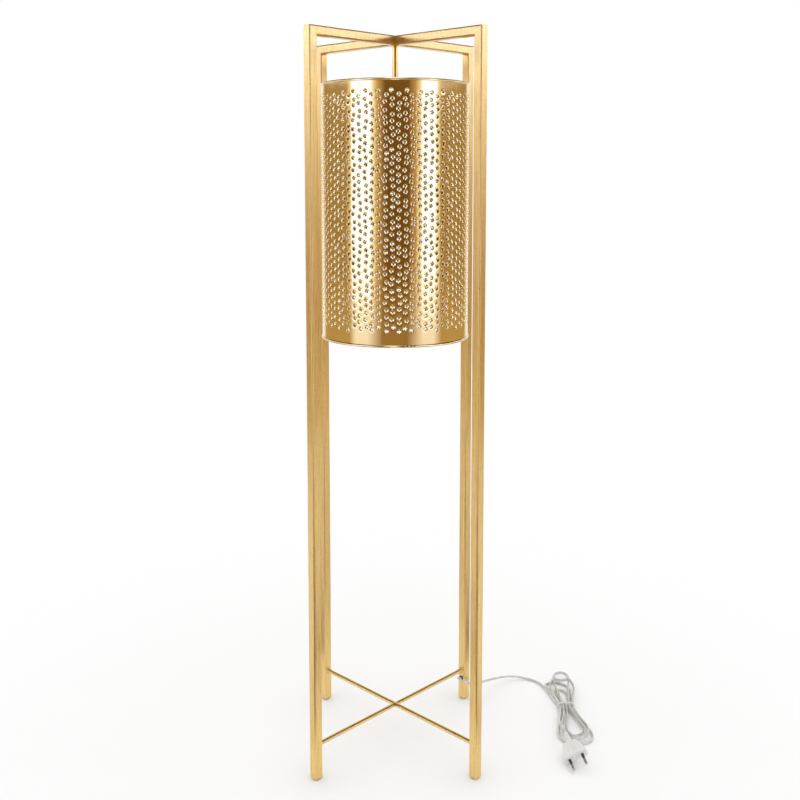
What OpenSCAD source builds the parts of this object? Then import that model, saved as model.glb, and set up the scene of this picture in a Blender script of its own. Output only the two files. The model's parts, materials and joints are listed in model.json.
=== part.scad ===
// Lantern floor lamp: two crossed portals of square tube carry a tall perforated drum shade
// on a short rod. Millimetres, +Z up, origin on the floor below the middle of the lamp.
// The camera side is -Y, and each leg stands on a diagonal of the square footprint.

/* [Frame] */
// Height of the whole lamp
lamp_h = 1000; // [900:10:1200]
// Distance from the lamp's axis to the centre of each leg
leg_reach = 152; // [135:1:190]
// Side of the square tube
tube = 12.7; // [12:0.1:16]
// Wall of the square tube
tube_wall = 1.2; // [1:0.1:1.6]
// Radius on the tube's outer edges
tube_corner = 2; // [1:0.1:2.2]
// Thickness of the plate that closes a leg's foot
foot_plate = 4; // [3:0.5:6]
// Radius on the foot's lower edges
foot_round = 2.6; // [1:0.1:3]
// Diameter of the glide's pad under a foot
glide_d = 8; // [6:0.5:9]
// Thickness of that pad
glide_t = 1; // [0.8:0.1:2]
// Diameter of the glide's nail in the foot
glide_nail_d = 2; // [1.5:0.1:3]

/* [Stretcher rods] */
// Diameter of the stretcher rods
stretcher_d = 6; // [4:0.5:7]
// Height of the rods' axes above the floor
stretcher_z = 47; // [44:1:120]
// Diameter of the weld bead where a rod meets a leg
bead_d = 8.6; // [8.4:0.1:10]

/* [Shade] */
// Diameter of the drum, over its flats
shade_d = 202; // [190:1:230]
// Height of the drum with its rims
shade_h = 348; // [300:1:420]
// Clear height between the top bars and the drum's upper rim
shade_gap = 51.3; // [40:0.1:70]
// Thickness of the drum's sheet
sheet_t = 1; // [0.8:0.1:1.4]
// Thickness of the rolled rims
rim_d = 3.6; // [3.4:0.1:5]
// Number of columns of holes round the drum, one to each narrow flat
columns = 72; // [60:6:84]
// Height from one hole to the next in a column
hole_pitch = 9.2; // [8.6:0.1:12]
// Diameter of a hole
hole_d = 3.2; // [2.4:0.1:3.6]
// How far a hole strays from its even place
stray = 1.6; // [0:0.1:1.8]
// Plain band under the upper rim
band_top = 14; // [12:1:30]
// Plain band over the lower rim
band_bottom = 17; // [8:1:30]

/* [Hanging] */
// Outer diameter of the hang rod
rod_d = 8; // [7:0.5:10]
// Bore of the hang rod
rod_bore = 6; // [5:0.5:6]
// Outer diameter of the bush in the top bar
bush_d = 10.4; // [10:0.1:11]
// How far the bush stands out under the bar
bush_drop = 2.2; // [1:0.1:4]
// Depth of the spider's arms below the top of the drum
spider_drop = 16; // [14:1:30]
// Thickness of the spider's strips
spider_t = 1.5; // [1:0.1:2.5]
// Width of the spider's arms
arm_w = 12; // [8:1:16]
// Height of the tabs that meet the drum's wall
tab_h = 10; // [6:1:11]
// Diameter of the spider's middle disc
hub_d = 34; // [28:1:44]
// Width across the flats of the rod's nut
nut_w = 13; // [12:0.5:16]
// Height of that nut
nut_h = 4; // [3:0.5:6]
// Thickness of the washer under the nut
washer_t = 1; // [0.8:0.1:1.6]

/* [Lampholder] */
// Outer diameter of the lampholder
holder_d = 38; // [37:1:44]
// Height of the lampholder's cap
cap_h = 28; // [26:1:36]
// Height of the lampholder's body
body_h = 34; // [33:1:44]
// Wall of the cap
cap_wall = 2; // [1.6:0.1:2.5]
// Inner radius of the screw shell
screw_r = 13.2; // [13:0.1:13.4]
// Wall of the screw shell
shell_t = 0.4; // [0.3:0.1:0.6]
// Length of the screw shell
shell_len = 24; // [20:1:24]
// Thickness of the insulating block
block_h = 9; // [8:1:9]

/* [Lead] */
// Diameter of the lead
cord_d = 4; // [3.4:0.1:4]
// Height of the lead's hole in the leg
exit_z = 34; // [28:1:38]
// Thickness of the bush's flange on the leg
flange_t = 0.8; // [0.6:0.1:1.2]
// Width of that flange round the lead's hole
flange_w = 0.6; // [0.4:0.1:1]
// Number of loops in the hank
loops = 4; // [2:2:4]
// Length of the hank between its end bends
hank_len = 186; // [160:2:190]
// Half width of the hank's lobes, as a cosine form
lobe_w = 54; // [50:1:60]
// Half width of the hank at its tied waist
waist_w = 11.1; // [11:0.1:12]
// Width of the tie along the hank
tie_w = 5; // [3:0.5:6]
// Thickness of the tie
tie_t = 0.8; // [0.5:0.1:0.9]

/* [Plug] */
// Width of the plug's face
plug_w = 35; // [33:1:37]
// Thickness of the plug
plug_t = 14; // [13:0.5:15]
// Length of the plug's body
plug_len = 28; // [26:1:32]
// Width of the plug's back
plug_back_w = 21; // [18:1:24]
// Distance between the two pins
pin_gap = 19; // [18:0.5:20]
// Diameter of a pin
pin_d = 4; // [3.8:0.1:4.8]
// Length of a pin in front of the face
pin_len = 19; // [17:0.5:19]
// Length of the dark sleeve on a pin's root
sleeve_len = 9; // [6:0.5:11]
// Length of the tapered strain relief
relief_len = 20; // [20:1:22]

/* [Fits] */
// Clearance between a piece and the hole or slot that it sits in
fit = 0.1; // [0.05:0.05:0.2]

/* [Hidden] */
$fn = 64;

// Directions of the four legs seen from above
FRONT_LEFT = 225;
FRONT_RIGHT = 315;
BACK_LEFT = 135;
BACK_RIGHT = 45;
LEGS = [FRONT_LEFT, FRONT_RIGHT, BACK_LEFT, BACK_RIGHT];
far = 3 * tube;                            // reach of the solids that cut the mitres
bar_z = lamp_h - tube / 2;                 // axis of the top bars
inner_side = tube - 2 * tube_wall;         // clear width inside the tube
leg_face = leg_reach - tube / 2;           // inner face of a leg, from the lamp's axis
bar_low = lamp_h - tube;                   // underside of the top bars
shade_z = bar_low - shade_gap - shade_h;   // lower rim of the drum

// Drum: three sheets of narrow flats meet behind the spider's tabs, and their edges sit in
// the slots of the rolled rims
SEAMS = [90, 210, 330];
sheet_r = shade_d / 2;                     // outside of the flats
flats = columns / len(SEAMS);              // flats in one sheet
flat_turn = 360 / columns;
sheet_corner_r = sheet_r / cos(flat_turn / 2);
slot_in = sheet_r - sheet_t - 2 * fit;
slot_out = sheet_corner_r + 2 * fit;
rim_r = (slot_in + slot_out) / 2;          // middle of the rim's round section
sheet_low = shade_z + rim_d / 2 + fit;
sheet_high = shade_z + shade_h - rim_d / 2 - fit;
holes_low = shade_z + band_bottom + hole_d;
holes_high = shade_z + shade_h - band_top - hole_d;
rows = floor((holes_high - holes_low) / hole_pitch + 0.5);

// Hanging: bush in the bar, rod through it, spider clamped on the lampholder's cap
bush_up = tube_wall + 2.5;                 // how far the bush reaches up into the bar
spider_z = shade_z + shade_h - spider_drop; // underside of the spider's arms
rod_grip = 9;                              // length of rod inside the cap
rod_low = spider_z - rod_grip;
rod_high = bar_low + bush_up;

// Lampholder, downwards from the spider
cap_low = spider_z - cap_h;
body_low = cap_low - body_h;
neck_d = rod_d + 8;                        // neck of the cap round the rod
block_low = cap_low + 1 - block_h;         // the block stands 1 mm up into the cap
shell_low = block_low - shell_len;
block_r = holder_d / 2 - 3.5;
contact_r = 5;

// Lead: twin flex, its bush in the leg, the inner run and the free run
cord_r = cord_d / 2;
bush_bore = cord_d + 3 * fit;
bush_body = bush_bore + 1.4;
exit_reach = leg_face - flange_t;          // the bush's outer face, from the lamp's axis
floor_z = cord_r + 0.2;                    // axis of a lead that lies on the floor
inner_x = leg_reach + inner_side / 2 - cord_r - 0.7; // the lead lies near the outer wall
exit_bend = 7.5;
corner_bend = 16;
rod_bend = 6.5;
lead_z = bar_z + 1.5;                      // the lead's axis inside the top bar
// Free run: offsets from the leg's hole, with the height as a share of the hole's height
exit_at = [exit_reach * cos(BACK_RIGHT), exit_reach * sin(BACK_RIGHT)];
RUN_OUT = [
  [0, 0, 1], [-1.2, -1.2, 1], [-2.6, -2.8, 1.01], [-4.4, -5.5, 1.06], [-4.9, -9.1, 1.11],
  [-3.8, -12.6, 1.14], [-1.3, -15.4, 1.14], [2.1, -16.8, 1.11], [5.8, -16.6, 1.06], [9.3, -14.8, 1],
  [14, -10, 0.9], [22, -2, 0.78], [30, 6, 0.7], [39, 15, 0.62], [49, 27.5, 0.51],
  [60, 39.5, 0.4], [72, 51, 0.29], [85, 59, 0.2], [96, 62.5, 0.135], [106, 62.5, 0.09]
];
// Then offsets from the hank's middle, on the floor and along the hank's left side
RUN_IN = [
  [-44.5, 97, 0], [-36, 90, 0], [-29.5, 82, 0.1], [-25.4, 72, 0.3], [-22.4, 60, 0.6],
  [-19.4, 47, 0.8], [-16.4, 34, 1], [-14.2, 23, 1.1], [-12.4, 13, 1.2]
];
// Hank: loops of one unbroken lead, drawn in at the tied waist, in two layers
hank_offset = [159.5, -38];                // from the leg's hole to the hank's middle
hank_at = exit_at + hank_offset;
strand_gap = 0.8;
strand = cord_d + strand_gap;              // from one strand to the next
tie_lift = 1.2;                            // the waist is lifted this much by the tie below it
hank_low = floor_z;
loop_rings = 24;
hank_sides = 6;
// Tail: offsets from the end of the hank's top layer, over the left lobe and on to the plug
TAIL_OUT = [
  [0, 0, 0], [0, -1.5, 0], [-0.9, -6, 0.1], [-2.6, -14, 0.5], [-5, -27, 1.8], [-8.4, -40, 4.2],
  [-10.6, -53, 7.4], [-11.1, -65, 10.6], [-10.4, -76, 12.9], [-9.4, -85, 13.9]
];
// Plug: the middle of its face from the hank's middle, its heading from -Y towards +X,
// its dip and its roll
plug_offset = [-12.8, -146.5];
plug_height = 12.9;
plug_at = [hank_at[0] + plug_offset[0], hank_at[1] + plug_offset[1], plug_height];
plug_heading = 8;
plug_dip = 10;
plug_roll = 25;
plug_line = [
  sin(plug_heading) * cos(plug_dip), -cos(plug_heading) * cos(plug_dip), -sin(plug_dip)
];
relief_d = 9;                              // the relief at the plug
relief_end = plug_at - (plug_len + relief_len + 0.3) * plug_line; // where the lead meets the relief

gold = [0.83, 0.66, 0.36];
brass = [0.80, 0.58, 0.24];
steel = [0.70, 0.70, 0.70];
black = [0.08, 0.08, 0.08];
ivory = [0.92, 0.91, 0.87];
clear = [0.78, 0.78, 0.76];

// ---- Helpers ----

function unit(v) = v / norm(v);

// A square with rounded corners, middle on the origin
module rounded_square(side, r) {
  square([side - 2 * r, side], center = true);
  square([side, side - 2 * r], center = true);
  for (x = [-1, 1], y = [-1, 1])
    translate([x, y] * (side / 2 - r)) circle(r = r);
}

module tube_section() {
  difference() {
    rounded_square(tube, tube_corner);
    square(inner_side, center = true);
  }
}

// Everything above the mitre plane of a portal's corner (side 1) or below it (side -1)
module mitre(side) {
  translate([leg_reach, 0, bar_z])
    rotate([0, -45, 0])
      translate([-far, -far / 2, side > 0 ? 0 : -far])
        cube([2 * far, far, far]);
}

// A ring with a round bore, standing on z = 0
module ring(outer_d, bore_d, h) {
  difference() {
    cylinder(d = outer_d, h = h);
    translate([0, 0, -1]) cylinder(d = bore_d, h = h + 2);
  }
}

function direction(path, i) =
  i == 0 ? unit(path[1] - path[0])
  : i == len(path) - 1 ? unit(path[i] - path[i - 1])
  : unit(unit(path[i + 1] - path[i]) + unit(path[i] - path[i - 1]));

// A side vector for each ring of a sweep, carried along without twist
function sides_along(path, start) = [
  for (
    i = 0, m = unit(start - (start * direction(path, 0)) * direction(path, 0));
    i < len(path);
    i = i + 1,
    m = i < len(path) ? unit(m - (m * direction(path, i)) * direction(path, i)) : m
  ) m
];

// One closed tube along the points of a path, all faces triangles
module swept_tube(path, r, sides, start = [0, 0, 1]) {
  n = len(path);
  m = sides_along(path, start);
  points = [
    for (i = [0 : n - 1], k = [0 : sides - 1])
      let (a = (k + 0.5) * 360 / sides, d = direction(path, i))
        path[i] + r * (cos(a) * m[i] + sin(a) * cross(d, m[i]))
  ];
  walls = [
    for (i = [0 : n - 2], k = [0 : sides - 1])
      let (a = i * sides + k, b = i * sides + (k + 1) % sides)
        each [[a, a + sides, b], [b, a + sides, b + sides]]
  ];
  caps = [
    for (k = [1 : sides - 2])
      each [[0, k, k + 1], [(n - 1) * sides, (n - 1) * sides + k + 1, (n - 1) * sides + k]]
  ];
  polyhedron(points = points, faces = concat(walls, caps), convexity = 10);
}

// Points of a quarter turn in the plane of x and z
function quarter(centre, r, from, to, steps = 5) = [
  for (i = [0 : steps])
    let (a = from + (to - from) * i / steps)
      [centre[0] + r * cos(a), 0, centre[1] + r * sin(a)]
];

// ---- Frame ----

// The side view of a leg, with its lower edges rounded, as wide as the tube and thicker
module foot_outline() {
  rotate([90, 0, 0])
  linear_extrude(2 * tube, center = true)
  union() {
    translate([-tube / 2, foot_round]) square([tube, lamp_h]);
    translate([foot_round - tube / 2, 0]) square([tube - 2 * foot_round, lamp_h]);
    for (x = [-1, 1])
      translate([x * (tube / 2 - foot_round), foot_round]) circle(r = foot_round);
  }
}

// A leg with a closed, rounded foot and the hole for the glide's nail
module leg(turn, has_lead_hole = false) {
  color(gold)
  rotate([0, 0, turn])
  difference() {
    translate([leg_reach, 0, glide_t])
    intersection() {
      union() {
        linear_extrude(lamp_h) tube_section();
        linear_extrude(foot_plate) rounded_square(tube, tube_corner);
      }
      foot_outline();
      rotate([0, 0, 90]) foot_outline();
    }
    mitre(1);
    translate([leg_reach, 0, 0]) cylinder(d = glide_nail_d + 2 * fit, h = glide_t + foot_plate + 1);
    if (has_lead_hole)
      translate([leg_face - 1, 0, exit_z])
        rotate([0, 90, 0]) cylinder(d = bush_body + 2 * fit, h = tube_wall + 2);
  }
}

module leg_front_left() leg(FRONT_LEFT);
module leg_front_right() leg(FRONT_RIGHT);
module leg_back_left() leg(BACK_LEFT);
module leg_back_right() leg(BACK_RIGHT, has_lead_hole = true);

// The bar that runs whole from the front left leg to the back right leg
module top_bar_through() {
  half = leg_reach + tube / 2;
  color(gold)
  rotate([0, 0, BACK_RIGHT])
  difference() {
    translate([-half, 0, bar_z])
      rotate([0, 90, 0]) linear_extrude(2 * half) tube_section();
    mitre(-1);
    rotate([0, 0, 180]) mitre(-1);
    translate([0, 0, bar_low - 1]) cylinder(d = bush_d + 2 * fit, h = tube_wall + 2);
  }
}

// A bar from the side of the whole bar out to one leg
module half_bar(turn) {
  color(gold)
  rotate([0, 0, turn])
  difference() {
    translate([tube / 2, 0, bar_z])
      rotate([0, 90, 0]) linear_extrude(leg_reach) tube_section();
    mitre(-1);
  }
}

module top_half_bar_front() half_bar(FRONT_RIGHT);
module top_half_bar_back() half_bar(BACK_LEFT);

module stretcher_through() {
  color(gold)
  translate([0, 0, stretcher_z])
  rotate([0, 0, BACK_RIGHT])
  rotate([0, 90, 0])
  cylinder(d = stretcher_d, h = 2 * leg_face, center = true);
}

// A rod from one leg to the side of the whole rod, cut to sit round it
module half_stretcher(turn) {
  color(gold)
  translate([0, 0, stretcher_z])
  rotate([0, 0, turn])
  difference() {
    rotate([0, 90, 0]) cylinder(d = stretcher_d, h = leg_face);
    rotate([90, 0, 0]) cylinder(d = stretcher_d + 2 * fit, h = 2 * stretcher_d, center = true);
  }
}

module stretcher_half_front() half_stretcher(FRONT_RIGHT);
module stretcher_half_back() half_stretcher(BACK_LEFT);

// Weld beads, round on the outside, where the rods meet the legs
module stretcher_collars() {
  bore_r = stretcher_d / 2 + fit;
  bead_r = bead_d / 2 - bore_r;
  color(gold)
  for (turn = LEGS)
    rotate([0, 0, turn])
    translate([leg_face, 0, stretcher_z])
    rotate([0, -90, 0])
    rotate_extrude()
    intersection() {
      translate([bore_r, 0]) circle(r = bead_r);
      translate([bore_r, 0]) square(2 * bead_r);
    }
}

// Nail-in glides: a pad under each foot, on a nail in the foot's plate
module foot_glides() {
  color(black)
  for (turn = LEGS)
    rotate([0, 0, turn])
    translate([leg_reach, 0, 0]) {
      cylinder(d = glide_d, h = glide_t);
      cylinder(d = glide_nail_d, h = glide_t + foot_plate - 0.5);
    }
}

// ---- Shade ----

// An even-handed scatter from -1 to 1 for each hole, the same every time
function scatter(i, j, k) =
  let (s = 437.585 * sin(127.1 * i + 311.7 * j + 74.7 * k)) 2 * (s - floor(s)) - 1;

// Corners of the flats of the sheet that starts at seam k, on a face r from the drum's axis
function sheet_corners(k, r) = [
  for (j = [0 : flats])
    let (a = SEAMS[k] + j * flat_turn) r / cos(flat_turn / 2) * [cos(a), sin(a)]
];
function reversed(list) = [for (i = [len(list) - 1 : -1 : 0]) list[i]];

// The sheet that starts at seam k, square to the wall at both seams, with its columns of holes
module shade_sheet(k) {
  color(brass)
  difference() {
    translate([0, 0, sheet_low])
    linear_extrude(sheet_high - sheet_low)
    polygon(concat(sheet_corners(k, sheet_r), reversed(sheet_corners(k, sheet_r - sheet_t))));
    for (j = [k * flats : (k + 1) * flats - 1], i = [0 : rows - 1])
      rotate([0, 0, SEAMS[0] + (j + 0.5) * flat_turn])
      translate([
        sheet_r - 2 * sheet_t,
        stray * scatter(i, j, 1),
        holes_low + (i + 0.25 + (j % 2) / 2) * hole_pitch + stray * scatter(i, j, 2)
      ])
      rotate([0, 90, 0]) cylinder(d = hole_d, h = 3 * sheet_t, $fn = 24);
  }
}

module shade_sheet_left() shade_sheet(0);
module shade_sheet_front() shade_sheet(1);
module shade_sheet_right() shade_sheet(2);

// A round bead rolled over one edge of the sheet, opening upwards
module rolled_rim() {
  color(brass)
  rotate_extrude($fn = 96)
  difference() {
    translate([rim_r, 0]) circle(d = rim_d, $fn = 32);
    translate([slot_in, 0]) square([slot_out - slot_in, rim_d]);
  }
}

module shade_bottom_rim() translate([0, 0, shade_z + rim_d / 2]) rolled_rim();
module shade_top_rim() translate([0, 0, shade_z + shade_h - rim_d / 2]) mirror([0, 0, 1]) rolled_rim();

// Three strips from a middle disc to tabs on the drum's wall, with a hole for the rod
module shade_spider() {
  reach = sheet_r - sheet_t - 2 * fit;
  color(steel)
  translate([0, 0, spider_z])
  difference() {
    intersection() {
      cylinder(r = reach, h = tab_h, $fn = 96);
      union() {
        cylinder(d = hub_d, h = spider_t);
        for (turn = SEAMS)
          rotate([0, 0, turn]) {
            translate([0, -arm_w / 2, 0]) cube([reach, arm_w, spider_t]);
            translate([reach - 2 * spider_t, -arm_w / 2, 0]) cube([2 * spider_t, arm_w, tab_h]);
          }
      }
    }
    translate([0, 0, -1]) cylinder(d = rod_d + 4 * fit, h = spider_t + 2);
  }
}

// ---- Hanging ----

module rod_bush() {
  color(gold)
  translate([0, 0, bar_low - bush_drop])
  ring(bush_d, rod_d + 2 * fit, bush_drop + bush_up);
}

module hang_rod() {
  color(gold)
  translate([0, 0, rod_low])
  ring(rod_d, rod_bore, rod_high - rod_low);
}

module rod_washer() {
  color(steel)
  translate([0, 0, spider_z + spider_t])
  ring(nut_w + 3, rod_d + 4 * fit, washer_t);
}

module rod_nut() {
  color(steel)
  translate([0, 0, spider_z + spider_t + washer_t])
  difference() {
    cylinder(d = nut_w / cos(30), h = nut_h, $fn = 6);
    translate([0, 0, -1]) cylinder(d = rod_d + 2 * fit, h = nut_h + 2);
  }
}

// ---- Lampholder ----

// The cap's outline, inset by t: a neck that opens into a dome
function cap_outline(t) = [
  [0, 0],
  [holder_d / 2 - t, 0],
  for (a = [0 : 15 : 90])
    [
      neck_d / 2 - t + (holder_d - neck_d) / 2 * cos(a),
      cap_h - rod_grip - 12 + (12 - t) * sin(a)
    ],
  [0, cap_h - rod_grip - t]
];

module lampholder_cap() {
  color(black)
  translate([0, 0, cap_low])
  difference() {
    union() {
      rotate_extrude() polygon(cap_outline(0));
      cylinder(d = neck_d, h = cap_h);
    }
    translate([0, 0, -0.01]) rotate_extrude() polygon(cap_outline(cap_wall));
    cylinder(d = rod_d + 2 * fit, h = cap_h + 1);
  }
}

module lampholder_body() {
  color(black)
  translate([0, 0, body_low])
  difference() {
    union() {
      cylinder(d = holder_d, h = body_h);
      cylinder(d = holder_d + 1.6, h = 4);
      translate([0, 0, body_h - 6]) cylinder(d = holder_d + 1.6, h = 4);
    }
    translate([0, 0, -1]) cylinder(r = screw_r + shell_t + fit, h = body_h + 2);
    translate([0, 0, block_low - body_low]) cylinder(r = block_r + fit, h = body_h);
  }
}

module lampholder_block() {
  color(ivory)
  translate([0, 0, block_low])
  difference() {
    cylinder(r = block_r, h = block_h);
    translate([0, 0, -1]) cylinder(r = contact_r + 1, h = 3);
    for (x = [-1, 1])
      translate([9 * x, 0, block_h - 4]) cylinder(d = 3 + 2 * fit, h = 5);
  }
}

module screw_shell() {
  color(brass)
  translate([0, 0, shell_low])
  ring(2 * (screw_r + shell_t), 2 * screw_r, shell_len);
}

// A sprung tongue in the block's recess
module centre_contact() {
  color(brass)
  translate([0, 0, block_low + 0.2]) {
    cylinder(r = contact_r, h = 0.8);
    cylinder(r = 1.5, h = 1.8);
  }
}

module terminal_screws() {
  color(steel)
  for (x = [-1, 1])
    translate([9 * x, 0, block_low + block_h - 4]) {
      cylinder(d = 3, h = 4);
      difference() {
        translate([0, 0, 4]) cylinder(d = 5.4, h = 2);
        translate([-3, -0.4, 5]) cube([6, 0.8, 2]);
      }
    }
}

// ---- Lead ----

module lead_bush() {
  color(black)
  rotate([0, 0, BACK_RIGHT])
  translate([exit_reach, 0, exit_z])
  rotate([0, 90, 0])
  difference() {
    union() {
      cylinder(d = bush_body + 2 * flange_w, h = flange_t);
      cylinder(d = bush_body, h = flange_t + tube_wall + 0.8);
    }
    translate([0, 0, -1]) cylinder(d = bush_bore, h = 10);
  }
}

// From the leg's bush up the leg, along the whole bar and down the rod to the terminals
module inner_lead() {
  path = concat(
    [[exit_reach, 0, exit_z]],
    quarter([inner_x - exit_bend, exit_z + exit_bend], exit_bend, -90, 0),
    quarter([inner_x - corner_bend, lead_z - corner_bend], corner_bend, 0, 90, 6),
    quarter([rod_bend, lead_z - rod_bend], rod_bend, 90, 180),
    [[0, 0, block_low + block_h + 0.3]]
  );
  color(clear)
  rotate([0, 0, BACK_RIGHT])
  swept_tube(path, cord_r, 8, start = [0, 1, 0]);
}

// The outermost loop seen from above, a long oval drawn in at the waist
function loop_at(a) = [
  cos(a) * (lobe_w - (lobe_w - waist_w) * cos(a) * cos(a)),
  hank_len / 2 * sin(a)
];

function inward(a) =
  let (d = loop_at(a + 0.5) - loop_at(a - 0.5)) unit([-d[1], d[0]]);

// A point of the hank's lead, u loops from its start at the left of the waist
function hank_point(u) =
  let (
    a = 180 + 360 * u,
    half = loops / 2,
    inset = strand * (u < half ? u : loops - u),
    climb = min(max(2 * (u - half) + 0.5, 0), 1),
    p = loop_at(a) + inset * inward(a)
  )
  [
    hank_at[0] + p[0],
    hank_at[1] + p[1],
    hank_low + tie_lift * cos(a) * cos(a) + strand * climb
  ];

HANK = concat(
  [hank_point(0) + [0, cord_d, 0]],
  [for (i = [0 : loops * loop_rings]) hank_point(i / loop_rings)],
  [hank_point(loops) - [0, cord_d, 0]]
);

// The least gap between strands that lie at least half a loop apart
function segment_gap(p, q) =
  min([for (s = [0 : 0.25 : 1]) norm(p - (q[0] + s * (q[1] - q[0])))]);
hank_gap = min([
  for (i = [0 : len(HANK) - 2], j = [i + floor(loop_rings / 4) : len(HANK) - 2])
    segment_gap(HANK[i], [HANK[j], HANK[j + 1]])
]) - cord_d;
hank_length = [for (i = 0, s = 0; i < len(HANK); i = i + 1,
  s = s + (i < len(HANK) ? norm(HANK[i] - HANK[i - 1]) : 0)) s][len(HANK) - 1];
echo(least_gap_in_hank_mm = hank_gap, hank_length_mm = hank_length,
    hank_start = HANK[0], hank_end = HANK[len(HANK) - 1]);

module cord_hank() color(clear) swept_tube(HANK, cord_r, hank_sides);

RUN = concat(
  [for (p = RUN_OUT) [exit_at[0] + p[0], exit_at[1] + p[1], max(p[2] * exit_z, floor_z)]],
  [for (p = RUN_IN) [hank_at[0] + p[0], hank_at[1] + p[1], floor_z + p[2]]],
  [HANK[0] + [0, 1.5, 0], HANK[0]]
);
TAIL = concat(
  [for (p = TAIL_OUT) HANK[len(HANK) - 1] + p],
  [relief_end - cord_d * plug_line, relief_end]
);

module cord_run() color(clear) swept_tube(RUN, cord_r, 8);
module cord_tail() color(clear) swept_tube(TAIL, cord_r, 8);

// A flat band round the hank's waist
module hank_tie() {
  low = tie_t / 2;
  high = hank_low + tie_lift + strand + cord_r + 0.4;
  left = -waist_w - cord_r - 0.4;
  right = waist_w - strand / 2 + cord_r + 0.4;
  color(ivory)
  translate([hank_at[0], hank_at[1] + tie_w / 2, 0])
  rotate([90, 0, 0])
  linear_extrude(tie_w)
  difference() {
    translate([left - tie_t, low - tie_t / 2 + 0.05])
      square([right - left + 2 * tie_t, high - low + 1.5 * tie_t]);
    translate([left, low + tie_t / 2 + 0.05]) square([right - left, high - low - tie_t / 2]);
  }
}

// ---- Plug, drawn along +Z from its back to its face, the pins beyond ----

module plug_place() {
  translate(plug_at)
  rotate([0, 0, plug_heading])
  rotate([90 + plug_dip, 0, 0])
  rotate([0, 0, plug_roll])
  translate([0, 0, -plug_len])
  children();
}

module plug_body() {
  edge = 3.5;
  color(ivory)
  plug_place()
  difference() {
    hull() {
      for (x = [-1, 1], y = [-1, 1]) {
        translate([x * (plug_w / 2 - edge), y * (plug_t / 2 - edge), plug_len - edge])
          sphere(r = edge, $fn = 24);
        translate([x * (plug_back_w / 2 - edge), y * (plug_t / 2 - 1 - edge), edge])
          sphere(r = edge, $fn = 24);
      }
    }
    for (x = [-1, 1])
      translate([x * pin_gap / 2, 0, plug_len - 8]) cylinder(d = pin_d + 2 * fit, h = 9);
  }
}

module plug_pins() {
  core_d = pin_d - 1;
  color(steel)
  plug_place()
  for (x = [-1, 1])
    translate([x * pin_gap / 2, 0, plug_len]) {
      translate([0, 0, -7.9]) cylinder(d = pin_d, h = 7.9);
      cylinder(d = core_d, h = sleeve_len + 0.5);
      translate([0, 0, sleeve_len]) cylinder(d = pin_d, h = pin_len - sleeve_len - 1.2);
      translate([0, 0, pin_len - 1.2]) cylinder(d1 = pin_d, d2 = pin_d - 1.6, h = 1.2);
    }
}

module pin_sleeves() {
  color(black)
  plug_place()
  for (x = [-1, 1])
    translate([x * pin_gap / 2, 0, plug_len]) ring(pin_d - 0.2, pin_d - 1 + fit, sleeve_len);
}

module strain_relief() {
  color(ivory)
  plug_place()
  translate([0, 0, -relief_len])
  difference() {
    cylinder(d1 = cord_d + 1.4, d2 = relief_d, h = relief_len);
    for (i = [1 : 4])
      translate([0, 0, i * relief_len / 5.5])
      ring(relief_d + 2, cord_d + 1, 1);
  }
}

leg_front_left();
leg_front_right();
leg_back_left();
leg_back_right();
top_bar_through();
top_half_bar_front();
top_half_bar_back();
stretcher_through();
stretcher_half_front();
stretcher_half_back();
stretcher_collars();
foot_glides();
lead_bush();
rod_bush();
hang_rod();
shade_sheet_left();
shade_sheet_front();
shade_sheet_right();
shade_top_rim();
shade_bottom_rim();
shade_spider();
rod_nut();
rod_washer();
lampholder_cap();
lampholder_body();
lampholder_block();
screw_shell();
centre_contact();
terminal_screws();
inner_lead();
cord_run();
cord_hank();
hank_tie();
cord_tail();
strain_relief();
plug_body();
plug_pins();
pin_sleeves();
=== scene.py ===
"""Looks of the lantern floor lamp: its lead, perforated drum, materials, studio and camera."""

import json
import math

import bpy
import numpy as np
from mathutils import Matrix, Vector
from mathutils.bvhtree import BVHTree


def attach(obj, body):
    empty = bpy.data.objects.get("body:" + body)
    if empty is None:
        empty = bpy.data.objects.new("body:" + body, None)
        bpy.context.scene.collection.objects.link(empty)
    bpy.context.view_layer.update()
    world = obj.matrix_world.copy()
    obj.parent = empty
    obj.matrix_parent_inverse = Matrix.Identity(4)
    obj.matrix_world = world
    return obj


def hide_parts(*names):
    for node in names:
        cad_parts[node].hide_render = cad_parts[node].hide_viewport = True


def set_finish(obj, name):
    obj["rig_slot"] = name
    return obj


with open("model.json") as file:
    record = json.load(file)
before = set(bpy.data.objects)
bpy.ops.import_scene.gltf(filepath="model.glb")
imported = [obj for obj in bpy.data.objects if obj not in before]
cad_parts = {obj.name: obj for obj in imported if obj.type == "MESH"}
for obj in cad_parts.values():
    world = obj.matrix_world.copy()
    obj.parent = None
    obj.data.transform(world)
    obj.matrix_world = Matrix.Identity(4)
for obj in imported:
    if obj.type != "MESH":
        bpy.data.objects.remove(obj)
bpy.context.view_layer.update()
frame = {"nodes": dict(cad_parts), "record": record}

# The lamp's own measures are in millimetres, those of the camera and the studio in metres
MM = 0.001
BODY = "root"
UP = np.array([0.0, 0.0, 1.0])

# ---- Camera: the photograph's place, turn and framing, for an image of 800 x 800 ----

IMAGE_SIDE = 800
SENSOR = 36.0
FOCAL_PIXELS = 1029.8
# The row of the image, from the top, that the lens's axis meets
AXIS_ROW = 280.54
CAMERA_AT = Vector((-0.007848, -1.426199, 0.813523))
# Turns in radians
CAMERA_YAW = -0.01016
CAMERA_PITCH = -0.10293
CAMERA_ROLL = -0.00022


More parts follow.
